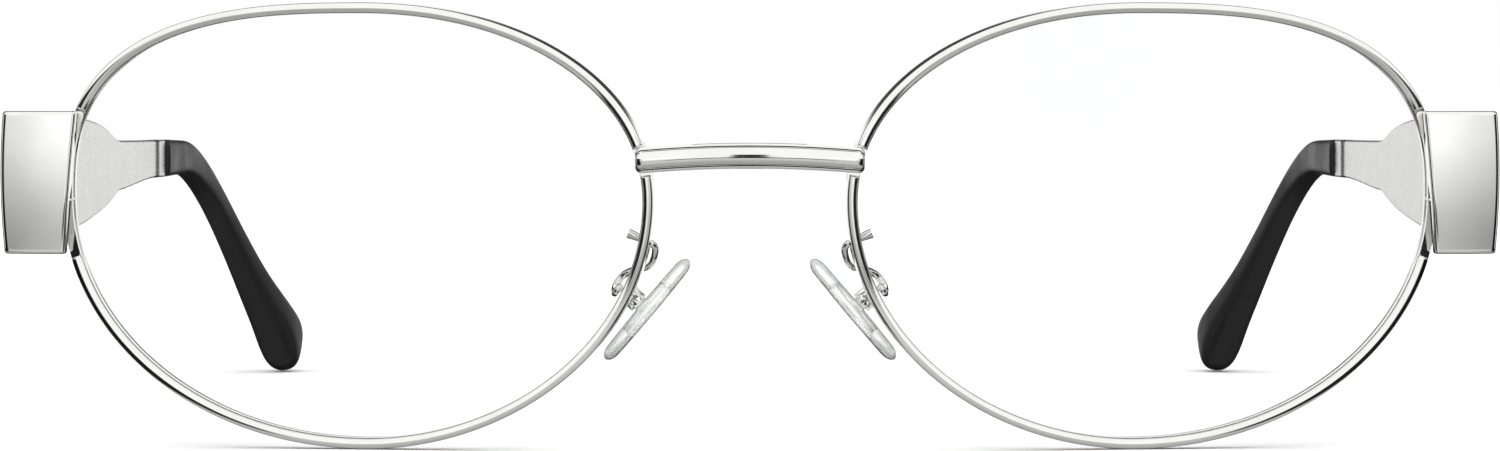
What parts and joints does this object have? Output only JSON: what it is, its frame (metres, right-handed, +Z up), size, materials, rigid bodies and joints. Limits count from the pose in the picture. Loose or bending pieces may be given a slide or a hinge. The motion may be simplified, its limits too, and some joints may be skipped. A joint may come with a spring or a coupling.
{
  "type": "eyeglasses",
  "caption": "Oval metal eyeglasses with wrap-round endpieces, clear lenses, clear nose pads and folding temples with black tips.",
  "frame": {"origin": "centre of the bounding box on the table, under the open glasses standing on rims and temple tips", "axes": "+X to the wearer's left, the wearer looks along -Y, +Z up"},
  "size_m": [0.1428, 0.142, 0.0422],
  "materials": {
    "polished_steel": "polished",
    "satin_steel": "satin, finely bead-blasted",
    "black_tip_plastic": "matte black",
    "clear_lens": "clear",
    "clear_silicone": "clear silicone",
    "pad_core_plastic": "translucent"
  },
  "bodies": {
    "front": {"bridge": "polished_steel", "left_rim": "polished_steel", "left_lens": "clear_lens", "left_endpiece": "polished_steel", "left_closing_block_upper": "polished_steel", "left_closing_block_lower": "polished_steel", "left_closing_screw": "polished_steel", "left_hinge_front": "polished_steel", "left_hinge_screw": "polished_steel", "left_pad_arm": "polished_steel", "left_pad_box": "polished_steel", "left_pad_screw": "polished_steel", "right_rim": "polished_steel", "right_lens": "clear_lens", "right_endpiece": "polished_steel", "right_closing_block_upper": "polished_steel", "right_closing_block_lower": "polished_steel", "right_closing_screw": "polished_steel", "right_hinge_front": "polished_steel", "right_hinge_screw": "polished_steel", "right_pad_arm": "polished_steel", "right_pad_box": "polished_steel", "right_pad_screw": "polished_steel"},
    "left_temple": {"left_temple_arm": "satin_steel", "left_hinge_rear": "polished_steel", "left_temple_tip": "black_tip_plastic"},
    "left_pad": {"left_nose_pad": "clear_silicone", "left_pad_core": "pad_core_plastic"},
    "right_temple": {"right_temple_arm": "satin_steel", "right_hinge_rear": "polished_steel", "right_temple_tip": "black_tip_plastic"},
    "right_pad": {"right_nose_pad": "clear_silicone", "right_pad_core": "pad_core_plastic"}
  },
  "joints": [
    {"name": "left_temple_fold", "type": "hinge", "parent": "front", "child": "left_temple", "pos_m": [0.0686, -0.05619, 0.02535], "axis": [0, 0, 1], "range_deg": [0, 85]},
    {"name": "right_temple_fold", "type": "hinge", "parent": "front", "child": "right_temple", "pos_m": [-0.0686, -0.05619, 0.02535], "axis": [0, 0, -1], "range_deg": [0, 74]},
    {"name": "left_pad_rock", "type": "hinge", "parent": "front", "child": "left_pad", "pos_m": [0.01095, -0.05989, 0.01395], "axis": [0, 1, 0], "range_deg": [-10, 10]},
    {"name": "right_pad_rock", "type": "hinge", "parent": "front", "child": "right_pad", "pos_m": [-0.01095, -0.05989, 0.01395], "axis": [0, 1, 0], "range_deg": [-10, 10]}
  ]
}
